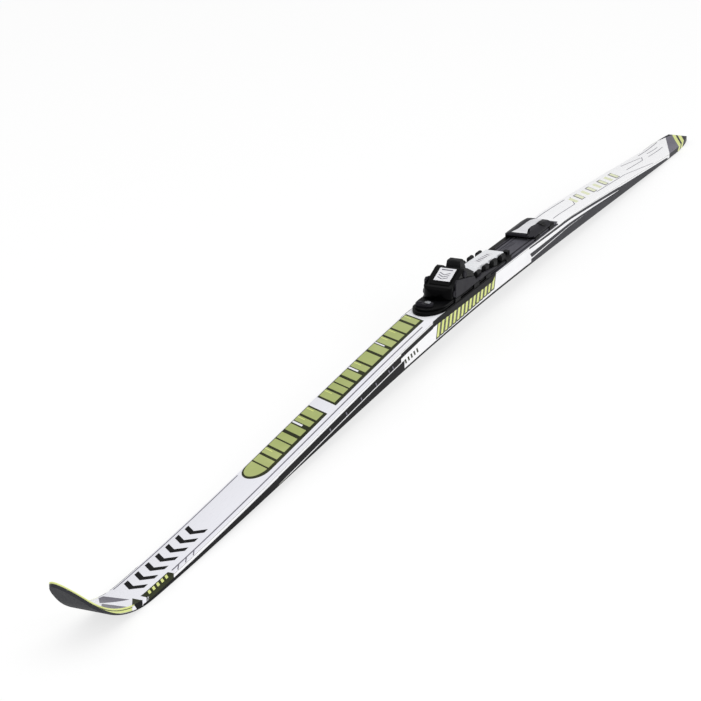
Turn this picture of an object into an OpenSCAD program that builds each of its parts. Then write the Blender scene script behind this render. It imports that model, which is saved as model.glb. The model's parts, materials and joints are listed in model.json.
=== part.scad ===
// Classic cross-country ski with a rail plate and an automatic toe-bar binding.
// The ski lies along X with its tip at +X, its left edge at +Y, standing on its tip and tail contacts.
// The origin is under the middle of the whole ski, on the ground.

/* [Ski] */
// Straight length from tail to tip
ski_len = 1964; // [1900:2:2050]
// Width under the foot and at the tail
waist_w = 44; // [44:0.5:46]
// Width at the shovel, where the tip starts to narrow
shovel_w = 41; // [40:0.5:43]
// Width of the square cut at the tail end
tail_w = 30; // [26:1:34]
// Height of the camber arch under the foot
camber_h = 22.4; // [18:0.2:26]
// Thickness of the ski where the tip curl starts
end_t = 8.5; // [7:0.5:10]
// Thickness of the ski at the tail
tail_t = 7.5; // [6.5:0.5:9]
// Upright thickness of the tip end
tip_t = 5.5; // [5:0.5:7]

/* [Tip] */
// Radius of the tip curl, measured on the base
curl_r = 178; // [150:2:200]
// Angle at which the tip ends
curl_a = 43; // [35:1:45]

/* [Layers] */
// Thickness of the running base
base_t = 1.4; // [1.2:0.1:1.6]
// Thickness of each laminate
lam_t = 0.6; // [0.4:0.1:0.8]
// Thickness of the top sheet
sheet_t = 1.0; // [0.8:0.1:1.2]
// Width of each sidewall
side_w = 3; // [2.5:0.5:4]
// Width of the coloured edge round the tip
rim_w = 2.5; // [2:0.5:3]
// Width of the groove in the running base
groove_w = 3; // [2:0.5:4]

/* [Binding] */
// Radius of the boot's toe bar seat
bar_r = 2.1; // [2.05:0.05:2.2]
// Half of the binding's width over its rail hooks
rail_y = 22; // [21.8:0.1:22]
// Gap between parts that slide or turn on each other
gap = 0.3; // [0.25:0.05:0.35]

/* [Hidden] */
$fn = 48;

tip_x = ski_len / 2;
tail_x = -ski_len / 2;
// ground contacts, camber peak and the straight seat of the binding plate
tip_contact = tip_x - 153;
tail_contact = tail_x + 25;
camber_x = -60;
seat_tail = -400;
seat_tip = 92;
seat_z = 50.45;
seat_slope = 0.01874;
tail_rise = 0.4;
// lengths over which the ski thins towards its ends, and where the tip itself starts to thin
front_run = 773;
rear_run = 480;
thin_x = 820;
narrow_x = tip_x - 68;
core_tip = 840;
core_tail = -890;
channel_len = 70;
channel_w = 7;
channel_y = 9;
channel_step = 90;
cap_tail = tail_x + 12;
tilt = atan(seat_slope);
wide = 60;
tall = 200;

// ---- curves of the ski: heights along X ----
function arch(x) = camber_h * (x > camber_x ? pow(max(0, 1 - pow((x - camber_x) / (tip_contact - camber_x), 2)), 1.8)
                                            : pow(max(0, 1 - pow((camber_x - x) / (camber_x - tail_contact), 1.5)), 1.3));
function curl(x) = let (s = min((x - tip_contact) / curl_r, sin(curl_a)), e = tip_contact + curl_r * sin(curl_a))
    curl_r * (1 - sqrt(1 - s * s)) + max(0, x - e) * tan(curl_a);
function base_z(x) = x > tip_contact ? curl(x)
                   : x < tail_contact ? tail_rise * pow((tail_contact - x) / (tail_contact - tail_x), 1.8)
                   : arch(x);
function seat_line(x) = seat_z + seat_slope * x;
function front_t(x) = let (s = min(1, (x - seat_tip) / front_run), t0 = seat_line(seat_tip) - base_z(seat_tip))
    end_t + (t0 - end_t) * pow(1 - pow(s, 1.25), 1.6) + (tip_t - end_t) * max(0, x - thin_x) / (tip_x - thin_x);
function rear_t(x) = let (s = min(1, (seat_tail - x) / rear_run), t0 = seat_line(seat_tail) - base_z(seat_tail))
    tail_t + (t0 - tail_t) * (1 - pow(s, 1.15));
function top_z(x) = x > seat_tip ? base_z(x) + front_t(x)
                  : x < seat_tail ? base_z(x) + rear_t(x) : seat_line(x);

// ---- plan outline: half widths along X, inset towards the middle ----
function body_w(x) = x > 0 ? (waist_w + (shovel_w - waist_w) * x / narrow_x) / 2 : waist_w / 2;
function tail_taper(x) = (tail_w - waist_w) / 2 * pow(max(0, (tail_x + 90 - x) / 90), 2.4);
function tip_round(x, inset) = let (s = (x - narrow_x) / (tip_x - inset - narrow_x))
    s <= 0 ? 1 : s >= 1 ? 0 : sqrt(1 - pow(s, 1.85));
function half_w(x, inset) = (body_w(x) + tail_taper(x) - inset) * tip_round(x, inset);

// ---- stations along the ski, closer together where it curves ----
function steps(from, to, n) = [for (i = [0:n - 1]) from + (to - from) * i / n];
function closing(from, to, n) = [for (i = [0:n]) from + (to - from) * sin(90 * i / n)];
stations = concat(steps(tail_x, tail_contact, 7), steps(tail_contact, seat_tail, 14), steps(seat_tail, seat_tip, 12),
                  steps(seat_tip, tip_contact, 20), steps(tip_contact, narrow_x, 9), closing(narrow_x, tip_x, 18));
function reversed(v) = [for (i = [len(v) - 1:-1:0]) v[i]];

// a band between two height curves, given as offsets from the base and from the top
module between(low_from_base, high_from_top) {
    rotate([90, 0, 0]) translate([0, 0, -wide / 2]) linear_extrude(wide)
        polygon(concat([for (x = stations) [x, base_z(x) + low_from_base]],
                       [for (x = reversed(stations)) [x, top_z(x) - high_from_top]]));
}
module on_base(low, high) {
    rotate([90, 0, 0]) translate([0, 0, -wide / 2]) linear_extrude(wide)
        polygon(concat([for (x = stations) [x, base_z(x) + low]],
                       [for (x = reversed(stations)) [x, base_z(x) + high]]));
}
module under_top(low, high) {
    rotate([90, 0, 0]) translate([0, 0, -wide / 2]) linear_extrude(wide)
        polygon(concat([for (x = stations) [x, top_z(x) - low]],
                       [for (x = reversed(stations)) [x, top_z(x) - high]]));
}
module plan(inset = 0) {
    xs = [for (x = stations) if (x < tip_x - inset - 0.01) x];
    translate([0, 0, -1]) linear_extrude(tall)
        polygon(concat([for (x = xs) [x, -half_w(x, inset)]], [[tip_x - inset, 0]],
                       [for (x = reversed(xs)) [x, half_w(x, inset)]]));
}
module stretch(from, to, side = 0) {
    translate([from, side > 0 ? 0 : -wide, -1]) cube([to - from, side == 0 ? 2 * wide : wide, tall]);
}
module middle() { between(base_t + lam_t, sheet_t + lam_t); }

module base() color("#202224") difference() {
    intersection() { on_base(0, base_t); plan(); }
    intersection() {
        on_base(-1, 0.9);
        translate([tail_x + 40, -groove_w / 2, -1]) cube([ski_len - 290, groove_w, tall]);
    }
}
module lower_laminate() color("#c9c3a0") intersection() { on_base(base_t, base_t + lam_t); plan(); }
module upper_laminate() color("#c9c3a0") intersection() { under_top(sheet_t + lam_t, sheet_t); plan(); }
module topsheet() color("#e8e8ee") intersection() { under_top(sheet_t, 0); plan(); }
// wood with two rows of milled air channels, solid under the binding
module core() color("#d9b98a") difference() {
    intersection() { middle(); plan(side_w); stretch(core_tail, core_tip); }
    for (x = [core_tail + 30:channel_step:core_tip - channel_step], y = [-channel_y, channel_y])
        if (x + channel_len < seat_tail || x > seat_tip)
            translate([x, y - channel_w / 2, -1]) cube([channel_len, channel_w, tall]);
}
module tip_filler() color("#4a4d50") intersection() { middle(); plan(rim_w); stretch(core_tip, tip_x); }
module tail_filler() color("#4a4d50") intersection() { middle(); plan(side_w); stretch(cap_tail, core_tail); }
module tail_protector() color("#3a3d40") intersection() { middle(); plan(); stretch(tail_x - 1, cap_tail); }
module sidewall(side) {
    intersection() {
        middle();
        difference() { plan(); plan(side_w); }
        stretch(cap_tail, core_tip, side);
    }
}
module sidewall_left() color("#f2f2f4") sidewall(1);
module sidewall_right() color("#f2f2f4") sidewall(-1);
module tip_edge() color("#c5d36a") intersection() {
    middle();
    difference() { plan(); plan(rim_w); }
    stretch(core_tip, tip_x + 1);
}

// ---- the binding stands on the straight seat; its own frame has z = 0 on the ski's top ----
plate_tail = -356;
plate_tip = 88;
plate_nose = 40;
flange_z = 1.6;
neck_z = 3;
head_z = 4.5;
neck_y = 18.5;
head_y = 20.5;
deck_z = head_z + gap;
deck_t = 2.2;
floor_z = deck_z + deck_t;
deck_y = head_y - 0.1;
bar_x = -52;
bar_z = 15.5;
button_x = -10;
button_z = 29;
button_y = 13.2;
cheek_y = button_y + gap;
cover_y = 19.5;
latch_y = 5;
lever_x = 64;
lever_y = -11;
// front wall of the toe housing: inside face, front face and length of its rounding
wall_x = 28.7;
front_x = 42;
front_nose = 13.3;

module on_seat() translate([0, 0, seat_z]) rotate([0, -tilt, 0]) children();
// children drawn in Y-Z and run along X
module along_x(from, to) translate([from, 0, 0]) rotate([90, 0, 90]) linear_extrude(to - from) children();
// children drawn in X-Z and run across Y
module along_y(from, to) translate([0, to, 0]) rotate([90, 0, 0]) linear_extrude(to - from) children();
module pin_y(x, z, r, half) translate([x, half, z]) rotate([90, 0, 0]) cylinder(r = r, h = 2 * half);
function arc(cx, cy, rx, ry, from, to, n) =
    [for (i = [0:n]) let (a = from + (to - from) * i / n) [cx + rx * cos(a), cy + ry * sin(a)]];
// outline with a rounded front
module nosed(from, to, half, nose, high) linear_extrude(high)
    polygon(concat([[from, -half]], arc(to - nose, 0, nose, half, -90, 90, 20), [[from, half]]));

module binding_plate() color("#46484c") on_seat() difference() {
    intersection() {
        along_x(plate_tail, plate_tip) polygon([
            [-rail_y + 0.5, 0], [rail_y - 0.5, 0], [rail_y - 0.5, flange_z], [neck_y, flange_z], [neck_y, neck_z],
            [head_y, neck_z], [head_y, head_z], [-head_y, head_z], [-head_y, neck_z], [-neck_y, neck_z],
            [-neck_y, flange_z], [-rail_y + 0.5, flange_z]]);
        nosed(plate_tail - 1, plate_tip, rail_y, plate_nose, 10);
    }
    // grooves along the plate, each given by its place and width
    for (g = [[-12.5, 3], [-6, 1.5], [15, 2.5]])
        translate([plate_tail + 8, g[0], head_z - 1.2]) cube([plate_tip - plate_tail - 40, g[1], 5]);
    for (i = [0:8]) translate([-238 + 6 * i, -3, head_z - 2]) cube([2.6, 6, 5]);
}

// deck of a sliding unit, with hooks that grip the rail at each given place
module deck(from, to, hooks) {
    translate([from, -deck_y, deck_z]) cube([to - from, 2 * deck_y, deck_t]);
    for (x = hooks, s = [0, 1]) mirror([0, s, 0]) along_x(x, x + 18) polygon([
        [deck_y - 2, deck_z], [head_y + gap, deck_z], [head_y + gap, neck_z - gap], [neck_y + gap, neck_z - gap],
        [neck_y + gap, flange_z + gap], [rail_y, flange_z + gap], [rail_y, floor_z], [deck_y - 2, floor_z]]);
}

module front_chassis() color("#2c2d30") on_seat() {
    deck(-60, 34, [-56, 8]);
    translate([33, 0, deck_z]) nosed(0, 49, deck_y, 38, deck_t);
    for (s = [0, 1]) mirror([0, s, 0]) {
        translate([-44, latch_y + gap, floor_z]) cube([38, 2.6, 2.6]);
        translate([-41, 9, floor_z]) cube([24.5, 3, 8]);
    }
    translate([-41, -12, 15]) cube([24.5, 24, 2]);
    translate([-41, -4, 10]) cube([2, 8, 5]);
}

// one moulded cover: two cheeks and a rounded front wall round the space of the button
module front_housing() color("#111214") on_seat() difference() {
    intersection() {
        along_y(-cover_y, cover_y) polygon([[front_x, floor_z], [front_x, 12.5], [41.2, 16.5], [38.6, 19.8],
            [33.5, 22], [26.5, 23.3], [21, 24.4], [-8, 35.4], [-14, 36], [-20, 34], [-42, 23.5], [-42, floor_z]]);
        translate([0, 0, floor_z]) nosed(-42, front_x, cover_y, front_nose, 30);
    }
    translate([-43, -cheek_y, 0]) cube([wall_x + 43, 2 * cheek_y, 40]);
    translate([wall_x + 2.3, -12, 0]) cube([7, 24, 16]);
    for (s = [0, 1]) mirror([0, s, 0]) {
        translate([-38, cheek_y + 2, floor_z - 1]) cube([64, 2, 11]);
        pin_y(button_x, button_z, 1.55, cover_y - 1.5);
    }
}

module release_button() color("#17181a") on_seat() difference() {
    union() {
        difference() {
            along_y(-button_y, button_y) polygon([[28.2, 14], [28.2, 21.3], [26.6, 23.7], [21, 25.3], [-6, 35.6],
                [-12, 35.9], [-14.5, 33], [-14.5, 26.5], [-7, 22], [20, 14]]);
            along_y(-button_y + 2, button_y - 2) polygon([[26, 10], [26, 21], [20, 23.2], [-5, 32.7], [-5, 10]]);
        }
        along_y(-4, 4) polygon([[-12, 13], [-8, 13], [-8, 26], [-12, 30]]);
        pin_y(button_x, button_z, 3.6, button_y);
    }
    pin_y(button_x, button_z, 1.56, button_y + 1);
}
label_a = atan(10.3 / 27);
module button_label() color("#d8dadd") on_seat() translate([19.4, 0, 25.3 + 1.6 * tan(label_a)])
    rotate([0, label_a, 0]) translate([-26, -11, 0]) cube([26, 22, 0.8]);
module button_pin() color("#a8abae") on_seat() pin_y(button_x, button_z, 1.5, cover_y - 1.6);

// closed coil of round wire along +Z
module coil(r, wire, high, turns) {
    seg = 16;
    sides = 8;
    n = turns * seg;
    pts = [for (i = [0:n], j = [0:sides - 1]) let (a = 360 * i / seg, b = 360 * j / sides, q = r + wire * cos(b))
        [q * cos(a), q * sin(a), wire + (high - 2 * wire) * i / n + wire * sin(b)]];
    polyhedron(pts, concat([[for (j = [0:sides - 1]) j]], [[for (j = [0:sides - 1]) n * sides + sides - 1 - j]],
        [for (i = [0:n - 1], j = [0:sides - 1]) let (k = (j + 1) % sides)
            [i * sides + j, (i + 1) * sides + j, (i + 1) * sides + k, i * sides + k]]));
}
module button_spring() color("#9a9da0") on_seat() translate([14, 0, floor_z]) coil(4.2, 0.5, 15.8, 6);
module hook_spring() color("#9a9da0") on_seat() translate([-39, 0, 12]) rotate([0, 90, 0]) coil(1.9, 0.35, 23.5, 10);

module latch_hook() color("#8d9093") on_seat() {
    translate([-59, -latch_y, floor_z + gap]) cube([46.5, 2 * latch_y, 2]);
    translate([-15.5, -4, floor_z + gap]) cube([3, 8, 7.2]);
    along_y(-latch_y, latch_y) polygon([[-59, floor_z + gap], [-55.8, floor_z + gap], [-55.8, 17.8],
        [-51.5, 17.8], [-51.5, 18.6], [-53.5, 20.4], [-57.5, 20.4], [-59, 19]]);
}
module toe_bar_seat() color("#b4b7ba") on_seat() difference() {
    union() {
        for (s = [0, 1]) mirror([0, s, 0]) translate([-58, latch_y + gap + 0.1, floor_z])
            cube([12, 6.6, bar_z - floor_z]);
        translate([-54.5, -latch_y - 1, 9.7]) cube([8.5, 2 * latch_y + 2, 3.2]);
    }
    pin_y(bar_x, bar_z, bar_r, 20);
}
module flexor() color("#1b1b1c") on_seat() intersection() {
    along_y(-12, 12) polygon([[-39.5, 17], [-17.5, 17], [-19.5, 30], [-20.5, 41], [-22, 42], [-31, 42],
        [-32.5, 41], [-37, 28]]);
    along_x(-42, -16) polygon([[-11.5, 17], [11.5, 17], [11.5, 24], [9, 41], [8, 42], [-8, 42], [-9, 41],
        [-11.5, 24]]);
}
module skirt() along_y(cover_y, 21.8) polygon([[24, floor_z], [24, 27], [20, 29.5], [-26, 21], [-41, 17.5],
    [-44, 12], [-60, 12], [-66, 14], [-121, 8.2], [-121, floor_z]]);
module skirt_left() color("#4b4d52") on_seat() skirt();
module skirt_right() color("#4b4d52") on_seat() mirror([0, 1, 0]) skirt();

ridge_tail = -168;
ridge_tip = -68;
ridge_crest = -79;
ridge_base_tail = -178;
ridge_base_tip = -64;
ridge_post_tail = -187;
ridge_y = 12.4;
ridge_z = 11.5;
ridge_drop = 3.6 / 95;
inset_tail = -150;
inset_tip = -100;
inset_y = 4.5;
inset_t = 0.8;
lug_y = 13.3;
lug_w = 6;
lug_len = 13;
function ridge_top(x) = 17.4 + ridge_drop * (x - ridge_crest);
module ridge_base() color("#26272a") on_seat() {
    deck(ridge_base_tail, ridge_base_tip, [-172, -98]);
    translate([ridge_tail, -ridge_y - 0.6, floor_z])
        cube([ridge_tip - ridge_tail, 2 * ridge_y + 1.2, ridge_z - floor_z]);
    for (y = [-14, 7]) translate([ridge_post_tail, y, deck_z]) cube([10, 7, 5.4]);
}
// the inset's shape; its pocket is the same but goes over the top of the plate
module inset_band(over = 0) along_y(-inset_y, inset_y) polygon([
    [inset_tail, ridge_top(inset_tail) - inset_t], [inset_tip, ridge_top(inset_tip) - inset_t],
    [inset_tip, ridge_top(inset_tip) + over], [inset_tail, ridge_top(inset_tail) + over]]);
module ridge_plate() color("#f0f0f2") on_seat() difference() {
    intersection() {
        along_y(-ridge_y, ridge_y) polygon([
            [ridge_tip, ridge_z], [ridge_tip, 13], [ridge_crest, ridge_top(ridge_crest)],
            [ridge_tail + 3, ridge_top(ridge_tail + 3)], [ridge_tail, 12.3], [ridge_tail, ridge_z]]);
        along_x(-180, -60) polygon([[-ridge_y, ridge_z], [ridge_y, ridge_z], [ridge_y, 12.8], [9.8, 18],
            [-9.8, 18], [-ridge_y, 12.8]]);
    }
    inset_band(1);
}
module ridge_inset() color("#b9bbbf") on_seat() inset_band();
// four pairs of lugs with round tops, lower towards the heel
module ridge_lugs() color("#232427") on_seat() for (lug = [[-64, 18], [-92, 18], [-121, 17], [-151, 15]], s = [0, 1])
    mirror([0, s, 0]) along_x(lug[0] - lug_len / 2, lug[0] + lug_len / 2)
        polygon(concat([[lug_y, floor_z], [lug_y + lug_w, floor_z]],
            arc(lug_y + lug_w / 2, lug[1] - lug_w / 2, lug_w / 2, lug_w / 2, 0, 180, 16)));

module lock_lever() color("#5a5d62") on_seat() translate([0, 0, floor_z + gap]) difference() {
    union() {
        translate([lever_x, 0, 0]) cylinder(r = 7, h = 3);
        linear_extrude(3) polygon([[lever_x - 6.5, -2], [lever_x - 2, lever_y], [lever_x + 6.4, lever_y],
            [lever_x + 6.9, 0]]);
        translate([lever_x + 2, lever_y, 0]) cylinder(r = 4.5, h = 3);
        translate([lever_x + 2, lever_y, 2]) cylinder(r = 3.4, h = 2.6);
    }
    translate([lever_x, 0, -1]) cylinder(r = 2.05, h = 6);
}
module lock_pivot() color("#a8abae") on_seat() translate([lever_x, 0, floor_z]) {
    cylinder(r = 2, h = 4);
    translate([0, 0, 3 + 2 * gap]) cylinder(r = 4, h = 1.4);
}

heel_tail = -342;
heel_tip = -252;
heel_front = -262;
heel_z = 7.5;
heel_lip = 9.6;
heel_top = 13.5;
heel_flat_y = 12;
pad_x = -311;
pad_y = 13.4;
pad_r = 5.8;
module heel_base() color("#1d1e20") on_seat() {
    deck(heel_tail, heel_front, [-338, -282]);
    translate([heel_tail, -deck_y, floor_z]) cube([heel_front - heel_tail, 2 * deck_y, heel_z - floor_z]);
}
// silver fin: flared at the front, hooked to the left at the rear
module fin(high) linear_extrude(high) polygon(concat([[-256, -9.5], [-272, -6.8]],
    arc(-308, 3, 22, 9.8, 270, 180, 12), [[-330, 7], [-318, 6.5], [-302, 7.4], [-290, 5.6], [-276, 6.6], [-257, 12]]));
module heel_plate() color("#5d6066") on_seat() difference() {
    intersection() {
        along_y(-21, 21) polygon([[heel_tip, heel_lip], [heel_tip, 12.2], [-254, heel_top], [-316, heel_top],
            [-338, 11], [heel_tail, 9.5], [heel_tail, heel_z], [heel_front, heel_z], [heel_front, heel_lip]]);
        along_x(heel_tail - 1, heel_tip + 1) polygon([[-21, heel_z], [21, heel_z], [21, 9], [heel_flat_y, 13.8],
            [-heel_flat_y, 13.8], [-21, 9]]);
        linear_extrude(20) polygon(concat([[heel_tip, -17], [heel_tip, 17], [-260, 21]],
            arc(heel_tail + 22, 0, 22, 21, 90, 270, 28), [[-260, -21]]));
    }
    translate([0, 0, heel_top - 1.2]) fin(5);
    // dark slot between the fin and the left lobe
    translate([0, 0, heel_top - 3]) linear_extrude(5)
        polygon([[-251, 12], [-257, 12], [-276, 6.6], [-284, 6.1], [-276, 9], [-262, 14.4], [-251, 14.4]]);
    translate([pad_x, pad_y, heel_z + 1]) cylinder(r = pad_r + 0.2, h = 20);
}
module heel_insert() color("#dfe1e4") on_seat() translate([0, 0, heel_top - 1.2]) fin(1.6);
module heel_pad() color("#3b3c44") on_seat() intersection() {
    translate([pad_x, pad_y, heel_z + 1]) cylinder(r = pad_r, h = 7.2);
    along_x(pad_x - 8, pad_x + 8) polygon([[5, heel_z], [20, heel_z], [20, 10.6], [14, 14.2], [5, 14.6]]);
}

base();
lower_laminate();
core();
tip_filler();
tail_filler();
upper_laminate();
topsheet();
sidewall_left();
sidewall_right();
tip_edge();
tail_protector();
binding_plate();
front_chassis();
front_housing();
release_button();
button_label();
button_pin();
button_spring();
latch_hook();
hook_spring();
toe_bar_seat();
flexor();
skirt_left();
skirt_right();
ridge_base();
ridge_plate();
ridge_inset();
ridge_lugs();
lock_lever();
lock_pivot();
heel_base();
heel_plate();
heel_insert();
heel_pad();
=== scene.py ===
"""Looks of the cross-country ski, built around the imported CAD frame."""

import json
import math

import bmesh
import bpy
import numpy as np
from mathutils import Matrix, Vector


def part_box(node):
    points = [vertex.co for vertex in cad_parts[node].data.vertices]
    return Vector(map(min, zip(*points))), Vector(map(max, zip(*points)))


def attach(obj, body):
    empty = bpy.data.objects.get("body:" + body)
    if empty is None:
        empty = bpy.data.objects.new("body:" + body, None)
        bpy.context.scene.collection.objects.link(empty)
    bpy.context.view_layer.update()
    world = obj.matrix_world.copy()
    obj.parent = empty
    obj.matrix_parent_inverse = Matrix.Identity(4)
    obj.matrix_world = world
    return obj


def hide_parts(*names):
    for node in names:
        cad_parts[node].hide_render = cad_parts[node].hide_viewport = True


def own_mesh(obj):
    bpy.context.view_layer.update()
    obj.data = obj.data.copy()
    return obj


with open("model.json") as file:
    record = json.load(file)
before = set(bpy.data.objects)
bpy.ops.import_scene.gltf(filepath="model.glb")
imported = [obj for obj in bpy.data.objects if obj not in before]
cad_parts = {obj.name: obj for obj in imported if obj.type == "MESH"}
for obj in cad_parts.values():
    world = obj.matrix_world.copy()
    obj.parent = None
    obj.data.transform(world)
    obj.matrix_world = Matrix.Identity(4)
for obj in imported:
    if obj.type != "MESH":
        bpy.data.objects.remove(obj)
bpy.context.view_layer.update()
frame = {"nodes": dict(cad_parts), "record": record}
MM = 0.001

RECORD = frame["record"]
BODY_OF = {node: body for body, nodes in RECORD["behaviour"]["bodies"].items() for node in nodes}
SLOT_OF = {part["node"]: part["material_slot"] for part in RECORD["subparts"]}


# ---- the ski's curves, read from the frame, in mm ----
STATION_GAP = 0.1


def read_curve(node, pick):
    """One value for each station of a ski layer, where pick chooses it from that station's vertices."""
    points = sorted((vertex.co / MM for vertex in frame["nodes"][node].data.vertices), key=lambda p: p.x)
    groups = [[points[0]]]
    for point in points[1:]:
        if point.x - groups[-1][0].x > STATION_GAP:
            groups.append([])
        groups[-1].append(point)
    xs = np.array([group[0].x for group in groups])
    values = np.array([pick(group) for group in groups])
    return xs, values, np.gradient(values, xs)


def along(curve, x):
    """Smooth value of a curve at x, by cubic Hermite pieces."""
    xs, values, slopes = curve
    i = int(np.clip(np.searchsorted(xs, x) - 1, 0, len(xs) - 2))
    step = xs[i + 1] - xs[i]
    t = min(max((x - xs[i]) / step, 0.0), 1.0)
    rise = t * t * (3 - 2 * t)
    bend = step * (slopes[i] * t * (1 - t) ** 2 - slopes[i + 1] * t * t * (1 - t))
    return float(values[i] + (values[i + 1] - values[i]) * rise + bend)


# thickness of the base, of one laminate and of the top sheet
BASE_T = 1.4
LAMINATE_T = 0.6
SHEET_T = 1.0
TOP = read_curve("topsheet", lambda points: max(p.z for p in points))
BOTTOM = read_curve("lower_laminate", lambda points: min(p.z for p in points) - BASE_T)
WIDTH = read_curve("topsheet", lambda points: max(abs(p.y) for p in points))
TAIL_X = TOP[0][0]
TIP_X = TOP[0][-1]
# where the layers and prints end, just short of the tip's last point
LAST_X = TIP_X - 0.02


def top(x):
    return along(TOP, x)


def bottom(x):
    return along(BOTTOM, x)


def half(x):
    """Half width of the ski, straight between stations so that the round tip doesn't overshoot."""
    return float(np.interp(x, WIDTH[0], WIDTH[1]))


# places where layers and prints are cut to follow the ski: close together at the tail and in the curl
BODY_STEP = 15
FINE_STEP = 4
TAIL_CUTS = 16
CURL_X = 830
CUTS = [TAIL_X + i * FINE_STEP for i in range(1, TAIL_CUTS + 1)]
CUTS += [CUTS[-1] + i * BODY_STEP for i in range(1, int((CURL_X - CUTS[-1]) / BODY_STEP) + 1)]
CUTS += [CUTS[-1] + i * FINE_STEP for i in range(1, int((TIP_X - CUTS[-1]) / FINE_STEP) + 1)]
# a cut nearer than this to an end is left out
CUT_GAP = 1
# length of the tip's last stretch, where stations follow equal angles of a round nose
NOSE_R = 8
NOSE_DEGREES = range(0, 86, 6)


def cuts_between(start, end):
    return [x for x in CUTS if start + CUT_GAP < x < end - CUT_GAP]


def stations(start, end):
    """Places along the ski from start to end: the cuts, and very close ones where the end is the tip."""
    inner = cuts_between(start, end)
    if end > TIP_X - CUT_GAP:
        inner = [x for x in inner if x < TIP_X - NOSE_R - CUT_GAP]
        inner += [TIP_X - NOSE_R * (1 - math.sin(math.radians(a))) for a in NOSE_DEGREES]
    return [start] + inner + [end]


# the binding's own frame: z = 0 on the ski's top at x = 0, tilted with the top between two places
SEAT_REAR, SEAT_FRONT = -300, 60
SEAT_TILT = math.atan((top(SEAT_FRONT) - top(SEAT_REAR)) / (SEAT_FRONT - SEAT_REAR))
SEAT = Matrix.Translation((0, 0, top(0) * MM)) @ Matrix.Rotation(-SEAT_TILT, 4, "Y")


# ---- materials ----
def srgb(red, green, blue):
    def linear(value):
        value /= 255
        return value / 12.92 if value <= 0.04045 else ((value + 0.055) / 1.055) ** 2.4

    return (linear(red), linear(green), linear(blue), 1.0)


# scale of a wave texture at which one band is one unit wide
ONE_BAND = 0.31416
# the middle part of a noise's values, which a roughness range is spread over
NOISE_LOW, NOISE_HIGH = 0.3, 0.7
# how much of a fade comes from the place along the ski, and how much from slow drift
FADE_SHARE, DRIFT_SHARE = 0.8, 0.2
# size of a spark-eroded pit for each mm of grain
PIT = 1.6
FINE_GRAIN = 0.35


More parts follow.
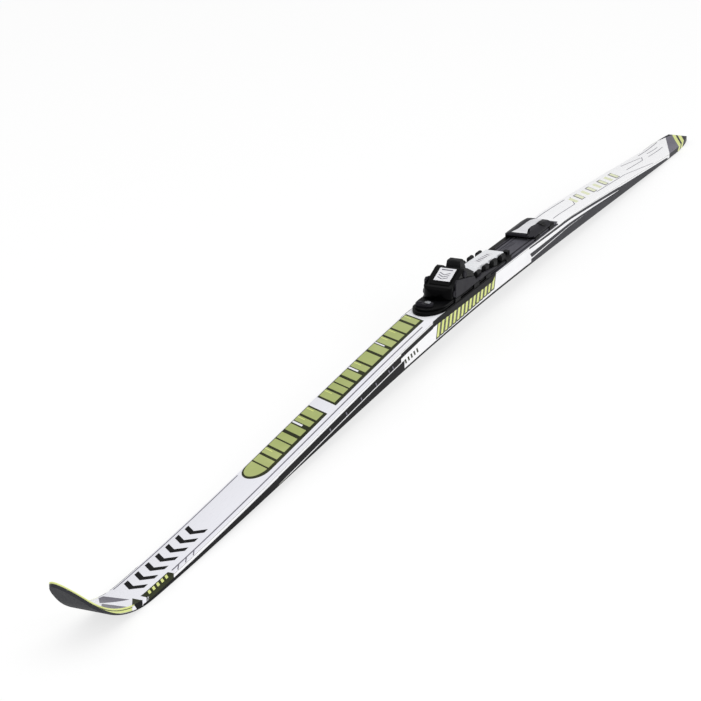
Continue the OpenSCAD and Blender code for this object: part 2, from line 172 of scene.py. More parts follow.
class Surface:
    """A Principled material whose colour, roughness and relief vary with textures at real scale."""

    def __init__(self, name, metallic=0.0, specular=0.5, coat=0.0, coat_roughness=0.1):
        self.material = bpy.data.materials.new(name)
        self.material.use_nodes = True
        self.tree = self.material.node_tree
        self.shader = self.tree.nodes["Principled BSDF"]
        self.shader.inputs["Metallic"].default_value = metallic
        self.shader.inputs["Specular IOR Level"].default_value = specular
        self.shader.inputs["Coat Weight"].default_value = coat
        self.shader.inputs["Coat Roughness"].default_value = coat_roughness
        self.coordinates = self.tree.nodes.new("ShaderNodeTexCoord").outputs["Object"]
        self.height = None

    def add(self, kind, **sockets):
        node = self.tree.nodes.new(kind)
        for name, value in sockets.items():
            node.inputs[name.replace("_", " ")].default_value = value
        return node

    def mapped(self, scale):
        node = self.add("ShaderNodeMapping", Scale=scale)
        self.tree.links.new(self.coordinates, node.inputs["Vector"])
        return node.outputs["Vector"]

    def noise(self, size, detail=3.0, stretch=(1, 1, 1)):
        """Noise whose features are about size mm across, longer along an axis by stretch."""
        vector = self.mapped(tuple(1 / (size * MM * s) for s in stretch))
        node = self.add("ShaderNodeTexNoise", Scale=1.0, Detail=detail, Roughness=0.55)
        self.tree.links.new(vector, node.inputs["Vector"])
        return node.outputs["Fac"]

    def cells(self, size):
        vector = self.mapped((1 / (size * MM),) * 3)
        node = self.add("ShaderNodeTexVoronoi", Scale=1.0)
        self.tree.links.new(vector, node.inputs["Vector"])
        return node.outputs["Distance"]

    def bands(self, size, axis, distortion=0.0):
        vector = self.mapped((1 / (size * MM),) * 3)
        node = self.add("ShaderNodeTexWave", Scale=ONE_BAND, Distortion=distortion, Detail=2.0)
        node.bands_direction = axis
        self.tree.links.new(vector, node.inputs["Vector"])
        return node.outputs["Fac"]

    def ranged(self, factor, from_low, from_high, to_low, to_high):
        node = self.add("ShaderNodeMapRange", From_Min=from_low, From_Max=from_high, To_Min=to_low,
                        To_Max=to_high)
        self.tree.links.new(factor, node.inputs["Value"])
        return node.outputs["Result"]

    def blend(self, a, b, mode="ADD"):
        node = self.tree.nodes.new("ShaderNodeMath")
        node.operation = mode
        self.tree.links.new(a, node.inputs[0])
        self.tree.links.new(b, node.inputs[1])
        return node.outputs[0]

    def fade(self, rear_x, front_x, drift):
        """A factor that grows from rear_x to front_x, in mm along the ski, with a little drift added."""
        split = self.tree.nodes.new("ShaderNodeSeparateXYZ")
        self.tree.links.new(self.coordinates, split.inputs["Vector"])
        place = self.ranged(split.outputs["X"], rear_x * MM, front_x * MM, 0.0, FADE_SHARE)
        return self.blend(place, self.ranged(drift, 0.0, 1.0, 0.0, DRIFT_SHARE))

    def colour(self, factor, *stops):
        """Colour along a ramp; each stop is a place and a colour."""
        ramp = self.tree.nodes.new("ShaderNodeValToRGB")
        elements = ramp.color_ramp.elements
        while len(elements) < len(stops):
            elements.new(0.5)
        for element, (place, value) in zip(elements, stops):
            element.position = place
            element.color = value
        self.tree.links.new(factor, ramp.inputs["Fac"])
        self.tree.links.new(ramp.outputs["Color"], self.shader.inputs["Base Color"])
        return self

    def rough(self, factor, low, high):
        """Roughness from low to high as a noise goes through the middle of its values."""
        spread = self.ranged(factor, NOISE_LOW, NOISE_HIGH, low, high)
        self.tree.links.new(spread, self.shader.inputs["Roughness"])
        return self

    def relief(self, factor, depth):
        """Adds relief of that depth in mm on top of the relief so far."""
        node = self.add("ShaderNodeBump", Strength=1.0, Distance=depth * MM)
        self.tree.links.new(factor, node.inputs["Height"])
        if self.height is not None:
            self.tree.links.new(self.height, node.inputs["Normal"])
        self.height = node.outputs["Normal"]
        self.tree.links.new(self.height, self.shader.inputs["Normal"])
        return self


def sheet_surface(name, coat, specular):
    """A clear layer over print with its slow patches and its fine scuffs along the ski."""
    s = Surface(name, specular=specular, coat=coat, coat_roughness=0.12)
    return s, s.noise(60, 4), s.noise(0.8, 4, (60, 1, 1))


def scuffed(s, scuffs, roughness):
    """Finishes a sheet surface with orange peel and scuffs."""
    s.rough(roughness, 0.26, 0.33)
    s.relief(s.noise(1.6, 2), 0.01)
    return s.relief(scuffs, 0.006).material


def faded_sheet(name, rear, front, rear_x, front_x):
    """White top sheet that is a little greyer towards the tip."""
    s, patches, scuffs = sheet_surface(name, 0.12, 0.3)
    s.colour(s.fade(rear_x, front_x, patches), (0.1, rear), (0.9, front))
    return scuffed(s, scuffs, scuffs)


def printed_sheet(name, dark, light, coat=0.12, specular=0.3):
    """Ink under a clear, slightly scuffed top sheet."""
    s, patches, scuffs = sheet_surface(name, coat, specular)
    s.colour(patches, (0.3, dark), (0.7, light))
    return scuffed(s, scuffs, s.blend(patches, scuffs))


def moulded(name, dark, light, specular, grain=FINE_GRAIN, depth=0.02):
    """Injection-moulded plastic: fine spark-eroded grain and slow colour drift."""
    s = Surface(name, specular=specular)
    drift = s.noise(18, 4)
    s.colour(s.blend(drift, s.noise(grain, 2)), (0.75, dark), (1.25, light))
    s.rough(drift, 0.4, 0.55)
    s.relief(s.cells(grain * PIT), depth)
    return s.relief(s.noise(7, 2), depth * 0.8).material


def plastic_with_painted_shade(name, rear, front, rear_x, front_x):
    """Moulded plastic that darkens from the rear towards the front: painted shade where it lies under the
    binding's parts.
    """
    s = Surface(name, specular=0.05)
    drift = s.noise(12, 4)
    s.colour(s.fade(rear_x, front_x, drift), (0.1, rear), (0.85, front))
    s.rough(drift, 0.42, 0.6)
    s.relief(s.cells(FINE_GRAIN * PIT), 0.02)
    return s.relief(s.noise(0.3, 3, (30, 1, 1)), 0.008).material


def polished(name, dark, light, specular=0.4, coat=0.12):
    """Polished moulding with faint flow marks and hairline scratches."""
    s = Surface(name, specular=specular, coat=coat, coat_roughness=0.06)
    flow = s.noise(14, 3, (2, 1, 1))
    hair = s.noise(0.25, 3, (40, 1, 1))
    s.colour(flow, (0.3, dark), (0.7, light))
    s.rough(hair, 0.16, 0.3)
    return s.relief(flow, 0.02).relief(hair, 0.002).material


def rubber(name, dark, light):
    s = Surface(name, specular=0.25)
    dust = s.noise(3.5, 5)
    s.colour(dust, (0.35, dark), (0.75, light))
    s.rough(s.noise(9, 2), 0.55, 0.75)
    return s.relief(s.cells(0.45), 0.03).relief(dust, 0.02).material


def brushed(name, dark, light, stretch, low=0.22, high=0.4):
    s = Surface(name, metallic=1.0)
    lines = s.noise(0.16, 4, stretch)
    s.colour(s.blend(lines, s.noise(20, 3)), (0.7, dark), (1.3, light))
    s.rough(lines, low, high)
    return s.relief(lines, 0.006).material


def wood(name, dark, middle, light):
    s = Surface(name, specular=0.25)
    grain = s.noise(1.2, 5, (40, 1, 1))
    s.colour(s.blend(grain, s.bands(3.2, "Z", 3.0)), (0.45, dark), (0.9, middle), (1.3, light))
    s.rough(grain, 0.5, 0.7)
    return s.relief(grain, 0.04).material


def woven(name, dark, light):
    """Glass cloth in resin: two crossed sets of threads."""
    s = Surface(name, specular=0.5, coat=0.3)
    cloth = s.blend(s.bands(1.1, "X"), s.bands(1.1, "Y"), "MULTIPLY")
    s.colour(cloth, (0.1, dark), (0.8, light))
    s.rough(cloth, 0.3, 0.45)
    return s.relief(cloth, 0.03).material


def ground_base(name, dark, light):
    """Sintered base with graphite and the fine lines of a stone grind."""
    s = Surface(name, specular=0.05)
    lines = s.noise(0.35, 3, (120, 1, 1))
    s.colour(s.blend(lines, s.noise(1.5, 4)), (0.7, dark), (1.25, light))
    s.rough(lines, 0.45, 0.62)
    return s.relief(lines, 0.02).material


def milled(name, dark, light):
    """Sidewall plastic with the long marks of the cutter."""
    s = Surface(name, specular=0.4)
    lines = s.noise(0.3, 3, (80, 1, 1))
    s.colour(s.blend(lines, s.noise(40, 3)), (0.7, dark), (1.3, light))
    s.rough(lines, 0.34, 0.5)
    return s.relief(lines, 0.012).material


MATERIAL = {
    "topsheet": faded_sheet("topsheet_white", srgb(252, 252, 254), srgb(234, 234, 241), -250, 350),
    "sidewall": milled("sidewall_white", srgb(236, 236, 240), srgb(246, 246, 248)),
    "lime_edge": printed_sheet("lime", srgb(206, 216, 122), srgb(220, 227, 146)),
    "ski_base": ground_base("sintered_base", srgb(24, 25, 28), srgb(46, 47, 51)),
    "laminate": woven("glass_laminate", srgb(150, 150, 140), srgb(190, 190, 178)),
    "core_wood": wood("light_wood", srgb(186, 146, 96), srgb(222, 190, 140), srgb(236, 212, 168)),
    "filler": moulded("filler_grey", srgb(46, 47, 50), srgb(62, 63, 66), 0.2, 0.6, 0.03),
    # the rail plate darkens towards the front: painted shade under the ridge plate and the front unit
    "plate_plastic": plastic_with_painted_shade("plate_plastic", srgb(86, 85, 92), srgb(8, 8, 9), -190, -70),
    "black_plastic": moulded("black_plastic", srgb(4, 4, 5), srgb(9, 9, 11), 0.05),
    "black_gloss": polished("black_gloss", srgb(1, 1, 2), srgb(4, 4, 5), 0.04, 0.0),
    "grey_plastic": moulded("grey_plastic", srgb(28, 28, 32), srgb(42, 41, 46), 0.06),
    "white_plastic": polished("white_plastic", srgb(226, 228, 232), srgb(238, 239, 242)),
    "silver_label": brushed("silver_foil", srgb(228, 228, 233), srgb(250, 250, 253), (1, 60, 1), 0.35, 0.55),
    "steel": brushed("brushed_steel", srgb(128, 130, 134), srgb(176, 178, 182), (30, 1, 1)),
    "flexor_rubber": rubber("rubber_black", srgb(9, 9, 10), srgb(24, 24, 26)),
}


def ink(name, dark, light, specular=0.03):
    return printed_sheet("ink_" + name, dark, light, 0.0, specular)


INK = {
    "olive": ink("olive", srgb(38, 42, 22), srgb(52, 56, 32)),
    "black": ink("black", srgb(8, 8, 10), srgb(18, 18, 20)),
    "lime": ink("lime", srgb(160, 172, 98), srgb(178, 188, 118), 0.2),
    "pale": ink("pale_lime", srgb(212, 221, 122), srgb(226, 233, 146), 0.25),
    "faint": ink("faint_lime", srgb(222, 227, 180), srgb(232, 236, 200), 0.25),
    "grey": ink("grey", srgb(104, 102, 112), srgb(124, 122, 132)),
    "slate": ink("slate", srgb(44, 44, 49), srgb(58, 58, 63)),
    "white": ink("white", srgb(232, 232, 239), srgb(241, 241, 246), 0.3),
}


# ---- pieces ----
def piece(name, mesh, body, material, replaces=()):
    """A finished piece that rides a body and may stand for CAD nodes."""
    obj = bpy.data.objects.new(name, mesh)
    bpy.context.scene.collection.objects.link(obj)
    mesh.materials.clear()
    mesh.materials.append(material)
    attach(obj, body)
    if replaces:
        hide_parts(*replaces)
    return obj


def finish_mesh(bm, name, smooth=30):
    """The mesh of bm, smooth except at edges sharper than that angle."""
    bmesh.ops.recalc_face_normals(bm, faces=bm.faces)
    mesh = bpy.data.meshes.new(name)
    bm.to_mesh(mesh)
    bm.free()
    mesh.polygons.foreach_set("use_smooth", [True] * len(mesh.polygons))
    mesh.set_sharp_from_angle(angle=math.radians(smooth))
    return mesh


def skin(bm, rows):
    """Closes a solid over rows of vertices, each row a closed ring."""
    for near, far in zip(rows, rows[1:]):
        for i in range(len(near)):
            j = (i + 1) % len(near)
            bm.faces.new((near[i], near[j], far[j], far[i]))
    bm.faces.new(rows[0])
    bm.faces.new(rows[-1])


def slab(bm, place, corners, foot, head):
    """Adds a closed slab over four (x, y) corners, from foot to head, all in mm at that place."""
    tops = [bm.verts.new(place @ (Vector((x, y, head)) * MM)) for x, y in corners]
    feet = [bm.verts.new(place @ (Vector((x, y, foot)) * MM)) for x, y in corners]
    bm.faces.new(tops)
    bm.faces.new(feet[::-1])
    for i in range(4):
        j = (i + 1) % 4
        bm.faces.new((tops[i], tops[j], feet[j], feet[i]))


def sweep(name, xs, ring):
    """A closed solid through one ring of (y, z) points, in mm, at each x."""
    bm = bmesh.new()
    skin(bm, [[bm.verts.new((x * MM, y * MM, z * MM)) for y, z in ring(x)] for x in xs])
    return finish_mesh(bm, name)


# radius of the top sheet's upper edges, and the least half width that a layer keeps at the tip
EDGE_R = 0.35
MIN_HALF = 0.6
# width, rear end, front end and small chamfer of the sidewalls
SIDE_W = 3.0
WALL_REAR = TAIL_X + 12
WALL_FRONT = 840
WALL_EASE = 0.15
# the base's centre groove: half width, depth, ends and the length over which it runs out
GROOVE_HALF = 1.5
GROOVE_DEEP = 0.9
GROOVE_REAR = TAIL_X + 40
GROOVE_FRONT = TIP_X - 250
RUN_OUT = 12
LEAST_GROOVE = 0.02
GROOVE_FLARE = 0.2
BASE_EASE = 0.25


def rounded_corner(y, z, radius, sign, steps=3):
    """Points of a quarter arc from the side up to the top, on the side given by sign."""
    angles = [math.pi / 2 * i / steps for i in range(steps + 1)]
    return [(sign * (y - radius + radius * math.cos(a)), z - radius + radius * math.sin(a)) for a in angles]


def sheet_ring(x):
    width, height = max(half(x), MIN_HALF), top(x)
    right = rounded_corner(width, height, EDGE_R, 1)
    left = rounded_corner(width, height, EDGE_R, -1)
    return [(width, height - SHEET_T)] + right + left[::-1] + [(-width, height - SHEET_T)]


def base_ring(x):
    width, low = max(half(x), MIN_HALF), bottom(x)
    rear = max(LEAST_GROOVE, (x - GROOVE_REAR) / RUN_OUT)
    front = max(LEAST_GROOVE, (GROOVE_FRONT - x) / RUN_OUT)
    deep = low + GROOVE_DEEP * min(1.0, rear, front)
    groove = min(GROOVE_HALF, width * 0.4)
    right = [(width, low + BASE_T), (width, low + BASE_EASE), (width - BASE_EASE, low),
             (groove + GROOVE_FLARE, low), (groove, deep)]
    return right + [(-y, z) for y, z in reversed(right)]


def wall_ring(side):
    def ring(x):
        low = bottom(x) + BASE_T + LAMINATE_T
        high = top(x) - SHEET_T - LAMINATE_T
        outer = half(x)
        inner = outer - SIDE_W
        points = [(inner, low), (outer - WALL_EASE, low), (outer, low + WALL_EASE),
                  (outer, high - WALL_EASE), (outer - WALL_EASE, high), (inner, high)]
        return [(side * y, z) for y, z in points]

    return ring


def make_ski_layers():
    whole = stations(TAIL_X, LAST_X)
    walls = stations(WALL_REAR, WALL_FRONT)
    layer = sweep("topsheet_piece", whole, sheet_ring)
    piece("topsheet_piece", layer, "ski", MATERIAL["topsheet"], ["topsheet"])
    layer = sweep("base_piece", whole, base_ring)
    piece("base_piece", layer, "ski", MATERIAL["ski_base"], ["base"])
    for side, name in ((1, "sidewall_left"), (-1, "sidewall_right")):
        layer = sweep(name + "_piece", walls, wall_ring(side))
        piece(name + "_piece", layer, "ski", MATERIAL["sidewall"], [name])


# width in mm of the rounding on the edges of each piece that is refined from its CAD node
ROUNDING = {
    "tip_edge": 0.2, "tail_protector": 0.4, "binding_plate": 0.25, "front_chassis": 0.4, "front_housing": 1.1,
    "release_button": 0.7, "button_label": 0.25, "button_pin": 0.3, "latch_hook": 0.35, "toe_bar_seat": 0.3,
    "flexor": 0.9, "skirt_left": 0.7, "skirt_right": 0.7, "ridge_base": 0.4, "ridge_plate": 0.35,
    "ridge_inset": 0.25, "ridge_lugs": 0.9, "lock_lever": 0.6, "lock_pivot": 0.4, "heel_base": 0.4,
    "heel_plate": 1.2, "heel_insert": 0.3, "heel_pad": 0.7,
}
# vertices nearer than this, in mm, are one, and faces that meet at less than this angle are merged
SAME_VERTEX = 0.002
SAME_FACE_DEGREES = 0.4
# the least angle of an edge that is shaded sharp, and of one that is rounded
SHARP_DEGREES = 25
ROUNDED_DEGREES = 28


def refine(node, width):
    """The CAD node's shape with merged faces and rounded edges."""
    bm = bmesh.new()
    bm.from_mesh(frame["nodes"][node].data)
    bmesh.ops.remove_doubles(bm, verts=bm.verts, dist=SAME_VERTEX * MM)
    flat = math.radians(SAME_FACE_DEGREES)
    bmesh.ops.dissolve_limit(bm, angle_limit=flat, verts=bm.verts, edges=bm.edges)
    bmesh.ops.connect_verts_concave(bm, faces=bm.faces)
    mesh = finish_mesh(bm, node + "_piece", SHARP_DEGREES)
    obj = piece(node + "_piece", mesh, BODY_OF[node], MATERIAL[SLOT_OF[node]], [node])
    bevel = obj.modifiers.new("rounding", "BEVEL")
    bevel.width = width * MM
    bevel.segments = 3
    bevel.limit_method = "ANGLE"
    bevel.angle_limit = math.radians(ROUNDED_DEGREES)
    bevel.use_clamp_overlap = True
    bevel.harden_normals = True
    return obj


# corners of a spring's wire, and stations in each of its turns
WIRE_SIDES = 10
PER_TURN = 28
# turns at each end that lie nearly flat, and the share of the height that rises evenly all along
FLAT_TURNS = 0.8
EVEN_CLIMB = 0.06
# the springs in the binding's frame in mm: foot, direction, coil radius, wire radius, length, turns
BUTTON_SPRING = ((14, 0, 7), (0, 0, 1), 4.2, 0.5, 15.6, 6)
HOOK_SPRING = ((-39, 0, 12), (1, 0, 0), 1.9, 0.35, 23.5, 10)


def coil(name, node, foot, direction, radius, wire, length, turns):
    """A coil spring of round wire with closed ends."""
    turn = Vector(direction).to_track_quat("Z", "Y").to_matrix().to_4x4()
    place = SEAT @ Matrix.Translation(Vector(foot) * MM) @ turn
    closed = FLAT_TURNS / turns
    count = int(turns * PER_TURN)
    bm = bmesh.new()
    rows = []
    for i in range(count + 1):
        share = i / count
        angle = 2 * math.pi * i / PER_TURN
        climb = min(max((share - closed) / (1 - 2 * closed), 0), 1)
        height = wire + (length - 2 * wire) * (EVEN_CLIMB * share + (1 - EVEN_CLIMB) * climb)
        row = []
        for j in range(WIRE_SIDES):
            b = 2 * math.pi * j / WIRE_SIDES
            reach = radius + wire * math.cos(b)
            point = Vector((reach * math.cos(angle), reach * math.sin(angle), height + wire * math.sin(b)))
            row.append(bm.verts.new(place @ (point * MM)))
        rows.append(row)
    skin(bm, rows)
    mesh = finish_mesh(bm, name, 60)
    return piece(name, mesh, BODY_OF[node], MATERIAL["steel"], [node])


def make_springs():
    up = coil("button_spring_piece", "button_spring", *BUTTON_SPRING)
    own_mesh(up)
    back = coil("hook_spring_piece", "hook_spring", *HOOK_SPRING)
    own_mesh(back)


# ---- prints: thin closed solids laid on the ski ----
# how far a print sinks in, and how far each level of print stands out from the one below
SINK = 0.3
LEVEL_STEP = 0.03
# how far beyond the ski's edge, or above it, two prints meet that run over it
OVERLAP = 0.05
CLOSED = -OVERLAP
# a cut nearer than this to a print's end is left out
PRINT_GAP = 0.2
# how far from the start of the rounded edge a print on the top ends
RIM_GAP = 0.1
# the least angle of an edge of a print that is shaded sharp
PRINT_SHARP = 20


def lift_of(level):
    return LEVEL_STEP + LEVEL_STEP * level


def on_top(x, y, lift):
    return (x, y, top(x) + lift)


def on_side(side):
    def place(x, depth, lift):
        return (x, side * (half(x) + lift), top(x) - depth)

    return place


def lay_print(name, ink_name, shapes, place, level):
    """Convex outlines in (x, v) turned into thin solids that follow the ski, cut wherever it bends."""
    lift = lift_of(level)
    bm = bmesh.new()
    for shape in shapes:
        flat = bmesh.new()
        flat.faces.new([flat.verts.new((x, v, 0)) for x, v in shape])
        low = min(x for x, _ in shape)
        high = max(x for x, _ in shape)
        for cut in CUTS:
            if low + PRINT_GAP < cut < high - PRINT_GAP:
                everything = flat.verts[:] + flat.edges[:] + flat.faces[:]
                bmesh.ops.bisect_plane(flat, geom=everything, plane_co=(cut, 0, 0), plane_no=(1, 0, 0))
        outer = {}
        inner = {}
        for vertex in flat.verts:
            x, v = vertex.co.x, vertex.co.y
            outer[vertex] = bm.verts.new(Vector(place(x, v, lift)) * MM)
            inner[vertex] = bm.verts.new(Vector(place(x, v, -SINK)) * MM)
        for face in flat.faces:
            bm.faces.new([outer[vertex] for vertex in face.verts])
            bm.faces.new([inner[vertex] for vertex in reversed(face.verts)])
        for edge in flat.edges:
            if edge.is_boundary:
                a, b = edge.verts
                bm.faces.new((outer[a], outer[b], inner[b], inner[a]))
        flat.free()
    piece(name, finish_mesh(bm, name, PRINT_SHARP), "ski", INK[ink_name])


def slanted(x0, x1, v0, v1, lean):
    """A bar from x0 to x1 at v0 whose far side, at v1, is shifted along the ski by lean."""
    return [(x0, v0), (x1, v0), (x1 + lean, v1), (x0 + lean, v1)]


def row_of_bars(count, start, pitch, width, v0, v1, lean):
    """Equal slanted bars, the first with its rear end at start and each one pitch further on."""
    rears = [start + pitch * i for i in range(count)]
    return [slanted(rear, rear + width, v0, v1, lean) for rear in rears]


def strokes(width, *lines):
    """Lines of that width through lists of points, as one four-sided shape for each stretch."""
    shapes = []
    for points in lines:
        for (x0, v0), (x1, v1) in zip(points, points[1:]):
            length = math.hypot(x1 - x0, v1 - v0)
            nx, nv = -(v1 - v0) / length * width / 2, (x1 - x0) / length * width / 2
            shapes.append([(x0 + nx, v0 + nv), (x1 + nx, v1 + nv), (x1 - nx, v1 - nv), (x0 - nx, v0 - nv)])
    return shapes


def rim(x):
    """How far out a print may reach on the top sheet before its edge rounds off."""
    return half(x) - EDGE_R - RIM_GAP


def over_edge(x):
    """The outermost place of a print that runs on over the edge of the top sheet."""
    return half(x) + OVERLAP


def band(x0, x1, low, high):
    """Four-sided shapes from x0 to x1 between two lines that are functions of x."""
    xs = [x0] + cuts_between(x0, x1) + [x1]
    return [[(a, low(a)), (b, low(b)), (b, high(b)), (a, high(a))] for a, b in zip(xs, xs[1:])
            if low(a) < high(a) and low(b) < high(b)]


def level_line(value):
    return lambda x: value


def falling(x0, v0, rate):
    """A straight line through v0 at x0 that gains rate for each mm towards the tail."""
    return lambda x: v0 + (x0 - x) * rate


# ---- prints on the top sheet, in mm: x along the ski, y across it ----
# slanted cells of the main pattern: rear end, front end
CELLS = [(486, 556), (401, 481), (377, 396), (327, 346), (243, 322), (163, 238), (139, 158), (90, 134)]
# dark slits across the cells, and narrow white ones: rear end, front end
SLITS = [(500, 505), (521, 524), (414, 423), (439, 446), (461, 464), (258, 267), (284, 290), (304, 307),
         (180, 187), (206, 212), (105, 111)]
WHITE_SLITS = [(416, 420), (260, 264), (182, 185)]
# the dark frames behind the cells: rear end, front end
FRAMES = [(373, 564), (86, 350)]
PATTERN_LOW, PATTERN_HIGH = -20.2, 9.8
PATTERN_LEAN = 14
# the frame is this wide below the cells and above them
BORDER_LOW, BORDER_HIGH = 0.8, 4.6
FILL_LOW, FILL_HIGH = PATTERN_LOW + BORDER_LOW, PATTERN_HIGH - BORDER_HIGH
FILL_LEAN = PATTERN_LEAN * (FILL_HIGH - FILL_LOW) / (PATTERN_HIGH - PATTERN_LOW)
# how far the front cell's fill goes on, and the upper ends of the white slits and of the glints
FRONT_EXTRA = 3
WHITE_TOP = -4
GLINT_TOP = -8
# a glint's rear and front, from the rear end of its cell
GLINT = (3, 4.6)
# length of a round front end, and steps in each quarter of it
ROUND_LENGTH = 26
ROUND_STEPS = 8

LINE_W = 1.2
PINSTRIPES = [[(840, -18.4), (560, -18.9)], [(-362, -17), (-490, -17)], [(-382, 5), (-472, 5), (-508, -15)],
              [(-560, 8), (-690, 8), (-790, 20.5)]]
WIDE_LINE_W = 1.6
WIDE_PINSTRIPE = [(780, 16), (120, 16)]
REAR_LINES = [[(-742, -16), (-815, -8)], [(-722, 0), (-800, 0), (-820, -8)], [(-828, -16), (-930, -18)],
              [(-850, -9), (-900, -8)], [(-830, 0), (-905, -1)]]
TIP_MARKS = [[(730 + 17 * i, 15.5), (742 + 17 * i, 20.8)] for i in range(3)]
TIP_WEDGES = [[(887, -7), (869, -18.6), (861, -18), (856, 9)],
              [(888, -4), (927, 17.4), (905, 19.4), (881, 20)]]
# rows of bars: count, rear end of the first, pitch, width, two places across, lean
CHEVRON_REARS = (7, 684, 22, 8.5, -15, -4, 9)
CHEVRON_FRONTS = (7, 693, 22, 8.5, -4, 8, -9)
TIP_HATCH = (5, 790, 9, 4.5, 15.2, 20, 5)
REAR_OUTLINES = (4, -690, 52, 16, -14.5, 5.5, 16)
REAR_FILLS = (8, -687.5, 26, 11, -13, 4, 13.6)
# ends of the dark box at the tip, on the top and on the side, and its inner edge on the top
BOX_REAR, BOX_FRONT = 785, 843
BOX_INNER = 14
# the dark corner in front of the box: ends, and its slanted inner edge
CORNER_REAR, CORNER_FRONT = 852, 871
CORNER_EDGE = falling(854, 11, -0.54)


def rounded_front(rear, front, low, high, lean):
    """A block whose front end is half an ellipse."""
    centre, reach = (low + high) / 2, (high - low) / 2
    angles = [math.pi / 2 * (i / ROUND_STEPS - 1) for i in range(2 * ROUND_STEPS + 1)]
    arc = [(front - ROUND_LENGTH + ROUND_LENGTH * math.cos(a), centre - reach * math.sin(a)) for a in angles]
    return [(rear + lean, high)] + arc + [(rear, low)]


def across_cells(ends, high=FILL_HIGH):
    """Bars with the slant of the cells, from their lower edge up to high."""
    lean = FILL_LEAN * (high - FILL_LOW) / (FILL_HIGH - FILL_LOW)
    return [slanted(rear, front, FILL_LOW, high, lean) for rear, front in ends]


def pattern_prints():
    """The main pattern: slanted lime cells in a dark frame, crossed by slits."""
    frames = [rounded_front(*FRAMES[0], PATTERN_LOW, PATTERN_HIGH, PATTERN_LEAN),
              slanted(*FRAMES[1], PATTERN_LOW, PATTERN_HIGH, PATTERN_LEAN)]
    first_rear, first_front = CELLS[0]
    fill = [rounded_front(first_rear, first_front + FRONT_EXTRA, FILL_LOW, FILL_HIGH, FILL_LEAN)]
    fill += across_cells(CELLS[1:])
    glints = across_cells([(rear + GLINT[0], rear + GLINT[1]) for rear, _ in CELLS], GLINT_TOP)
    lay_print("print_pattern_frames", "olive", frames, on_top, 1)
    lay_print("print_pattern_fills", "lime", fill, on_top, 2)
    lay_print("print_pattern_slits", "olive", across_cells(SLITS), on_top, 3)
    lay_print("print_pattern_gaps", "white", across_cells(WHITE_SLITS, WHITE_TOP), on_top, 4)
    lay_print("print_pattern_glints", "pale", glints, on_top, 3)


def front_prints():
    """Pinstripes along the ski, and the chevrons and marks in front of the main pattern."""
    lines = strokes(LINE_W, *PINSTRIPES) + strokes(WIDE_LINE_W, WIDE_PINSTRIPE)
    lay_print("print_pinstripes", "grey", lines, on_top, 1)
    chevrons = row_of_bars(*CHEVRON_REARS) + row_of_bars(*CHEVRON_FRONTS)
    lay_print("print_chevrons", "black", chevrons, on_top, 1)
    lay_print("print_tip_wedges", "grey", TIP_WEDGES, on_top, 1)
    dark = band(CORNER_REAR, CORNER_FRONT, CORNER_EDGE, over_edge)
    dark += band(BOX_REAR, BOX_FRONT, level_line(BOX_INNER), over_edge)
    lay_print("print_tip_dark", "olive", dark, on_top, 1)
    lay_print("print_tip_hatch", "pale", row_of_bars(*TIP_HATCH), on_top, 2)
    lay_print("print_tip_marks", "grey", strokes(LINE_W, *TIP_MARKS), on_top, 1)


# rear end of the prints at the tail
TAIL_END = -981.4
# the near edge of the top sheet at the tail, and the slopes of the stripes and of the grey area there
NEAR_EDGE = 20.8
STRIPE_SLOPE = 0.49
GREY_SLOPE = 0.384
# where the lime stripes at the tail meet the near edge: front, rear
LIME_STRIPES = [(-920, -932), (-939, -951)]
# front ends at the near edge of the grey area and of the slate one, and of the grey area's other side
GREY_FRONT = -872
GREY_BACK = -921
SLATE_FRONT = -926
# the slate corner on the far side: front end, and how fast it widens
TAIL_CORNER = -942
CORNER_RATE = 0.16


def stripe_line(x0, slope=STRIPE_SLOPE):
    """The slanted line that meets the near edge at x0, kept on the top sheet."""
    return lambda x: min(max(NEAR_EDGE + (x - x0) * slope, -rim(x)), over_edge(x))


def rear_prints():
    lay_print("print_rear_outlines", "grey", row_of_bars(*REAR_OUTLINES), on_top, 1)
    lay_print("print_rear_fills", "faint", row_of_bars(*REAR_FILLS), on_top, 2)
    lay_print("print_rear_lines", "grey", strokes(LINE_W, *REAR_LINES), on_top, 1)
    grey = band(TAIL_END, GREY_FRONT, stripe_line(GREY_FRONT, GREY_SLOPE), stripe_line(GREY_BACK))
    lay_print("print_tail_grey", "grey", grey, on_top, 1)
    slate = band(TAIL_END, SLATE_FRONT, stripe_line(SLATE_FRONT), over_edge)
    lay_print("print_tail_slate", "slate", slate, on_top, 1)
    corner = band(TAIL_END, TAIL_CORNER, lambda x: -rim(x),
                  lambda x: -rim(x) + CORNER_RATE * (TAIL_CORNER + 1 - x))
    lay_print("print_tail_corner", "slate", corner, on_top, 2)
    stripes = []
    for front, rear in LIME_STRIPES:
        stripes += band(TAIL_END, front, stripe_line(front), stripe_line(rear))
    lay_print("print_tail_lime", "pale", stripes, on_top, 2)


# ---- prints on the sides, in mm: x along the ski, depth below the edge of its top ----
# heights above the running edge: the lower end of most prints, the lower end of the white one at the
# tip, and the upper ends of the two black lines at the base
BASE_GAP = 0.4
WHITE_GAP = 1.6
REAR_LINE_GAP = 3.2
BASE_LINE_GAP = 3
# bands of the side: rear end, front end, upper depth and lower depth, or down to the base without one
TIP_WHITE = (838, 872, 0.8)
BLACK_BANDS = [(540, 850, 5), (200, 540, 4.5, 13.6), (190, 540, 14.9), (100, 200, 3, 9)]
REAR_BAND = (-858, -620, 4.2)
TAIL_BAND = (TAIL_END, -868, CLOSED)
BOX_DEPTH = 5
# the slanted front end of the black band: front and rear place at the top, and front place at the base
NOSE_TOP, NOSE_BACK, NOSE_FOOT = 868, 851, 862
# ends of the black line at the base behind the binding, and of the one beside it
REAR_LINE = (-248, -100)
BASE_LINE = (-100, 190)
